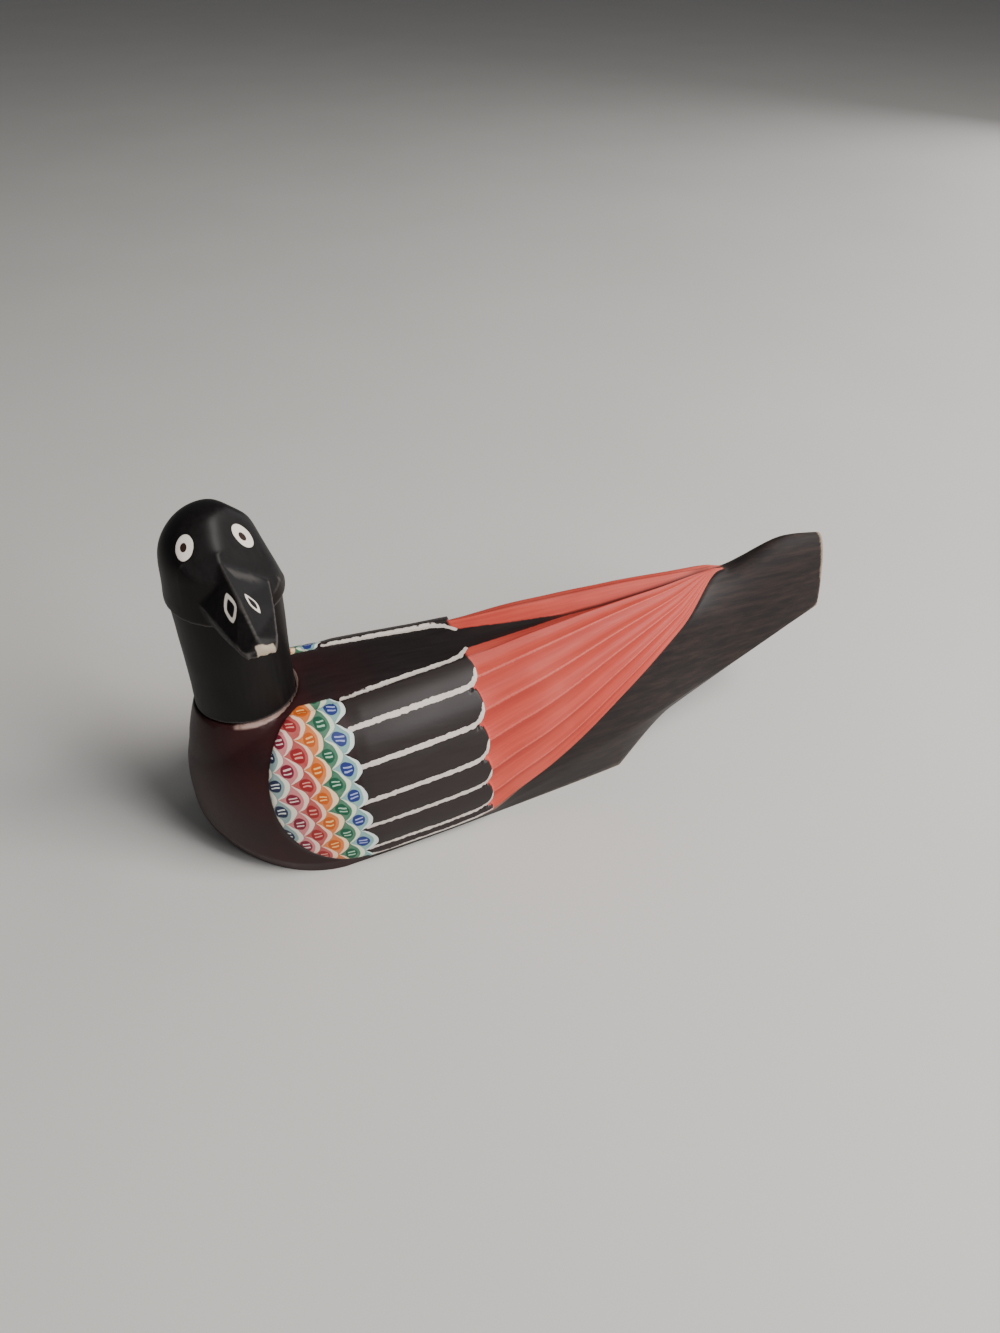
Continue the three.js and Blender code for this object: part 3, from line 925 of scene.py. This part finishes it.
headPaint = {
    "black": tone(20, 17, 17),
    "blackest": tone(11, 9, 9),
    # grey for rubbed edges, and for the painted highlight along the brow
    "rubAndHighlight": tone(92, 88, 86),
    "white": tone(226, 216, 206),
    "pupil": tone(42, 26, 20),
    "bare": tone(182, 166, 146),
    "brushDepth": 0.00012,
    "billTop": (0.117, 0.004),  # metres up
    "browLine": 1.1,
    "nostrilFacet": (0.62, 0.42, 0.66),
    "billTip": (0, 41, 107),
    "bareFrom": (-1.3, 0.25),
    "bareMiddle": 1.5,
    "bareHalf": (2.9, 0.3),
    "pupilSize": (0.36, 0.38),
    "pupilShift": 0.3,
    "eyeDepth": (7, 0.5),
    "nostrilDepth": (3, 0.5),
    "eyes": [  # place, half length, half width, tilt on the facet
        {"centre": (11.5, 10.6, 131.3), "facet": "leftFacet", "size": (4.15, 2.7), "tilt": -14},
        {"centre": (-9.7, 9.6, 129.8), "facet": "rightFacet", "size": (4.65, 2.75), "tilt": 17},
    ],
    "nostrils": [
        {"centre": (2.8, 26.0, 114.6), "side": 1, "size": (5.0, 2.2), "tilt": 36},
        {"centre": (-2.6, 26.5, 115.2), "side": -1, "size": (3.8, 1.6), "tilt": -26},
    ],
}


def facetAxes(normal):  # across the facet, and up it
    across = Vector((0, 0, 1)).cross(normal).normalized()
    return across, normal.cross(across).normalized()


def onFacet(paint, spot, centre, normal, tilt):  # flat places on a facet, mm, and how far off it
    turn = Matrix.Rotation(headForm["turn"], 3, "Z")
    across, up = facetAxes(normal)
    lean = Matrix.Rotation(radians(tilt), 3, normal)
    middle = turn @ Vector(centre) * mm + Vector((-bodyForm["baseCentre"] * mm, 0, 0))
    local = []
    for axis in (lean @ across, lean @ up, normal):
        world = turn @ axis * 1000
        local.append(paint.dot(spot, tuple(world)) - world.dot(middle))
    return local


def makeHeadPaint():
    paint = Paint("painted_head_wood")
    c = headPaint
    spot = paint.place()
    wear = paint.attribute("wear")
    grain = paint.speckle(paint.stretched(spot, (1.0, 1.0, 0.15)), 600, 4.0, 0.6)
    cloud = paint.speckle(spot, 45, 3.0)
    fine = paint.speckle(spot, 1500, 3.0)
    ragged = paint.speckle(spot, 420, 2.0) - 0.5
    colour = paint.colour(grain.above(0.5, 0.3), c["blackest"], c["black"])
    rubbed = (wear + (fine - 0.5) * 0.06 + (cloud - 0.5) * 0.16).above(0.12, 0.07)
    onBill = paint.part(spot, 2).below(*c["billTop"])
    colour = paint.colour(rubbed * (0.12 + onBill * 0.35), colour, c["rubAndHighlight"])
    rightFacet = Vector(headForm["rightFacet"]).normalized()
    across, _, above = onFacet(paint, spot, headForm["ridgeFoot"], rightFacet, 0)
    # a painted highlight: a soft grey line along the brow, above the bill's right roof
    browHighlight = abs(above - c["browLine"] + ragged).below(0.5, 0.5)
    browHighlight = browHighlight * across.above(0.5, 0.5) * onBill.below(0.6, 0.3)
    colour = paint.colour(browHighlight * 0.4, colour, c["rubAndHighlight"])
    white = None
    for eye in c["eyes"]:
        normal = Vector(headForm[eye["facet"]]).normalized()
        u, w, off = onFacet(paint, spot, eye["centre"], normal, eye["tilt"])
        long, wide = eye["size"]
        away = ((u / wide) ** 2 + (w / long) ** 2) ** 0.5 + ragged * 0.1
        near = abs(off).below(*c["eyeDepth"])
        pupilLong, pupilWide = c["pupilSize"]
        pupil = ((u + c["pupilShift"]) / (wide * pupilWide)) ** 2 + (w / (long * pupilLong)) ** 2
        pupil = (pupil + ragged * 0.2).below(1, 0.12)
        ring = away.below(1.0, 0.035) * near
        outline = away.below(1.16, 0.05) * near
        colour = paint.colour(outline * 0.8, colour, c["blackest"])
        colour = paint.colour(ring, colour, c["white"])
        colour = paint.colour(ring * pupil, colour, c["pupil"])
        white = ring if white is None else white + ring
    for nostril in c["nostrils"]:
        sideways, forward, up = c["nostrilFacet"]
        normal = Vector((nostril["side"] * sideways, forward, up)).normalized()
        u, w, off = onFacet(paint, spot, nostril["centre"], normal, nostril["tilt"])
        long, wide = nostril["size"]
        away = (abs(u) / wide) ** 1.4 + (abs(w) / long) ** 1.4 + ragged * 0.2
        near = abs(off).below(*c["nostrilDepth"])
        stroke = away.below(1.0, 0.06) * away.above(0.5, 0.06) * near
        colour = paint.colour(stroke * 0.9, colour, c["white"])
    across, _, ahead = onFacet(paint, spot, c["billTip"], Vector((0, 1, 0)), 0)
    bare = (ahead + ragged * 1.4).above(*c["bareFrom"])
    bare = bare * abs(across - c["bareMiddle"] + ragged).below(*c["bareHalf"])
    colour = paint.colour(bare * 0.9, colour, c["bare"])
    paint.set("Base Color", colour)
    paint.set("Specular IOR Level", 0.2)
    paint.set("Roughness", 0.4 + grain * 0.14 + rubbed * 0.1 + bare * 0.15)
    paint.set("Normal", paint.bump(grain * 0.3 + fine * 0.2 + white * 0.8, c["brushDepth"], 0.6))
    return paint.material


# making the duck

makeBody(makeBodyPaint())
makeHead(makeHeadPaint())
print("duck made")


# floor, light and camera

studio = {
    "floorSize": 14.0,
    "floor": tone(214, 211, 207),
    "floorDeep": tone(206, 203, 199),
    "sky": (0.86, 0.88, 0.9, 1.0),
    "skyStrength": 0.13,
    "lightTarget": (0.0, 0.0, 0.05),
    "lights": [  # place, size in metres, watts, colour
        ((0.8, -0.6, 1.1), 0.8, 27.0, (1.0, 0.97, 0.93)),
        ((0.64, -1.02, 0.8), 0.5, 8.0, (0.96, 0.98, 1.0)),
        ((1.25, 0.6, 0.5), 0.8, 4.5, (0.98, 0.99, 1.0)),
    ],
    "cameraPlace": (-0.068515, -0.291839, 0.293234),
    "cameraTurn": (51.5, 0.0, -20.0),
    "lens": 36 * 1000 / 1333,
}


def makeFloor():
    paint = Paint("pale_floor")
    spot = paint.place()
    cloud = paint.speckle(spot, 6, 4.0)
    paint.set("Base Color", paint.colour(cloud, studio["floorDeep"], studio["floor"]))
    paint.set("Roughness", 0.6 + cloud * 0.1)
    bm = bmesh.new()
    bmesh.ops.create_grid(bm, x_segments=4, y_segments=4, size=studio["floorSize"] / 2)
    mesh = bpy.data.meshes.new("studio_floor")
    bm.to_mesh(mesh)
    bm.free()
    mesh.materials.append(paint.material)
    floorPiece = bpy.data.objects.new("studio_floor", mesh)
    bpy.context.scene.collection.objects.link(floorPiece)


def makeLights():
    target = Vector(studio["lightTarget"])
    for number, (place, size, watts, colour) in enumerate(studio["lights"]):
        lamp = bpy.data.lights.new(f"soft_light_{number}", "AREA")
        lamp.size = size
        lamp.energy = watts
        lamp.color = colour
        light = bpy.data.objects.new(f"soft_light_{number}", lamp)
        light.location = place
        light.rotation_euler = (target - Vector(place)).to_track_quat("-Z", "Y").to_euler()
        bpy.context.scene.collection.objects.link(light)
    world = bpy.data.worlds.new("studio_sky")
    world.use_nodes = True
    background = world.node_tree.nodes["Background"]
    background.inputs["Color"].default_value = studio["sky"]
    background.inputs["Strength"].default_value = studio["skyStrength"]
    bpy.context.scene.world = world


def makeCamera():
    lens = bpy.data.cameras.new("photo_view")
    lens.sensor_width = 36
    lens.lens = studio["lens"]
    camera = bpy.data.objects.new("photo_view", lens)
    camera.location = studio["cameraPlace"]
    camera.rotation_euler = [radians(a) for a in studio["cameraTurn"]]
    bpy.context.scene.collection.objects.link(camera)
    bpy.context.scene.camera = camera


makeFloor()
makeLights()
makeCamera()
print("studio made")

bpy.context.view_layer.update()
